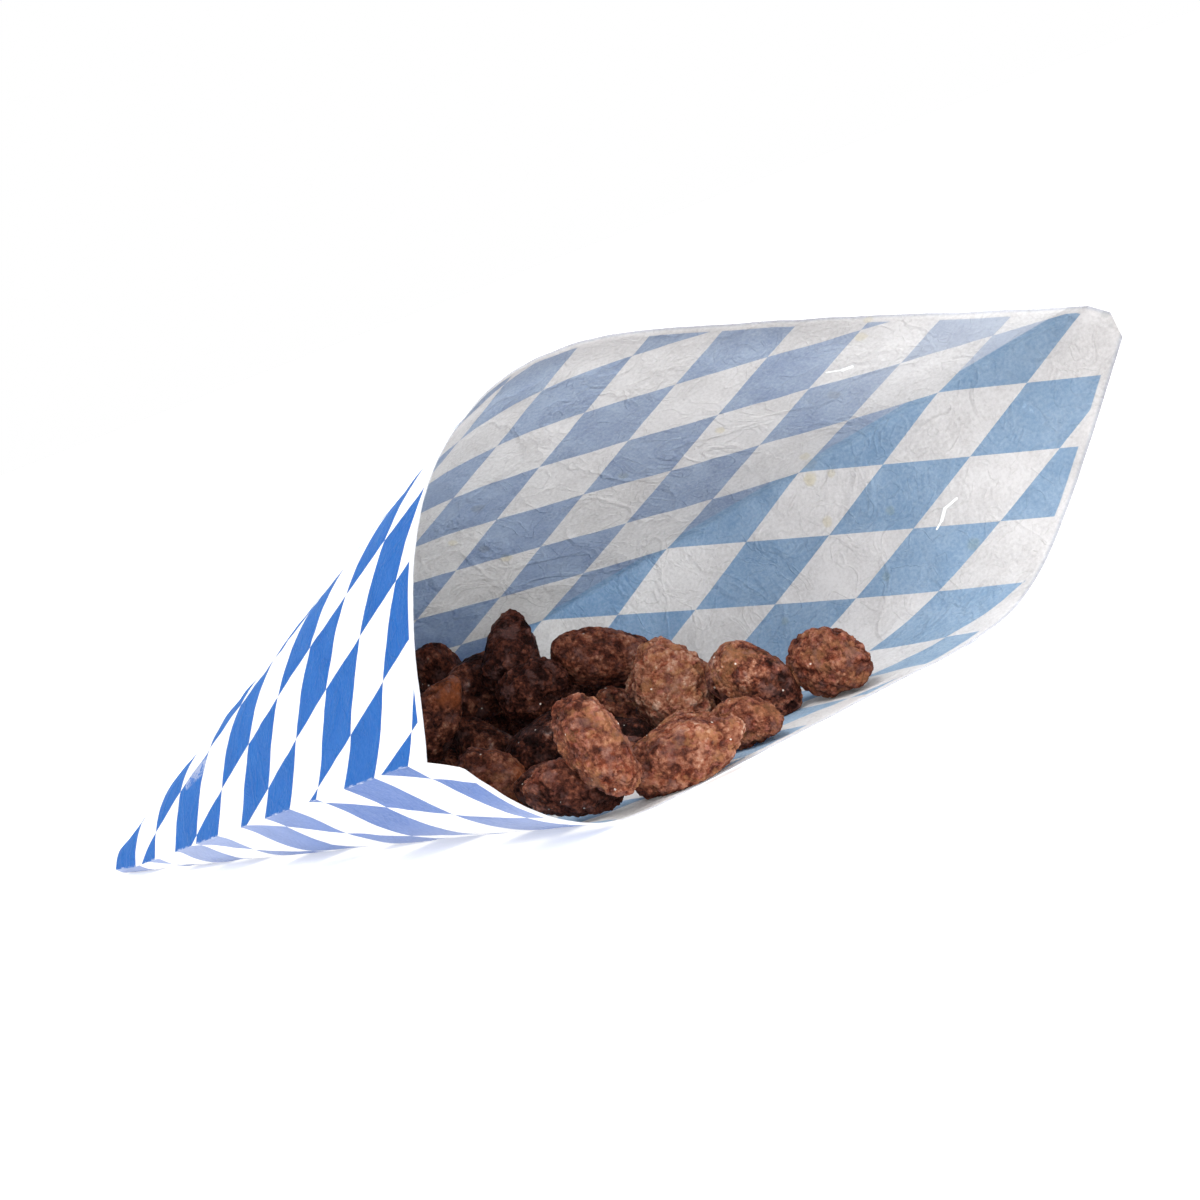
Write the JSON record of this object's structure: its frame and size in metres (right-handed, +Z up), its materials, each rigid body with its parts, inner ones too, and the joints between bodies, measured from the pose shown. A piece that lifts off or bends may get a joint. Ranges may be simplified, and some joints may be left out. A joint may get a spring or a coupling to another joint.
{
  "type": "paper cone of candied almonds",
  "caption": "Pointed paper bag with a lozenge print, lying on its side, its open mouth showing a heap of sugar-crusted candied almonds.",
  "frame": {"origin": "centre of the bag's plan outline, on the surface that it lies on", "axes": "+X from the bag's point to its open mouth, +Y towards the far fold of the bag, +Z up"},
  "size_m": [0.2748, 0.151, 0.0885],
  "materials": {
    "paper": "thin uncoated paper with a blue and white lozenge print on both sides, matte",
    "almonds": "rough caramelised sugar crust, brown, glossy in places"
  },
  "bodies": {
    "root": {"paper_cone": "paper", "almond_heap": "almonds"}
  },
  "joints": []
}
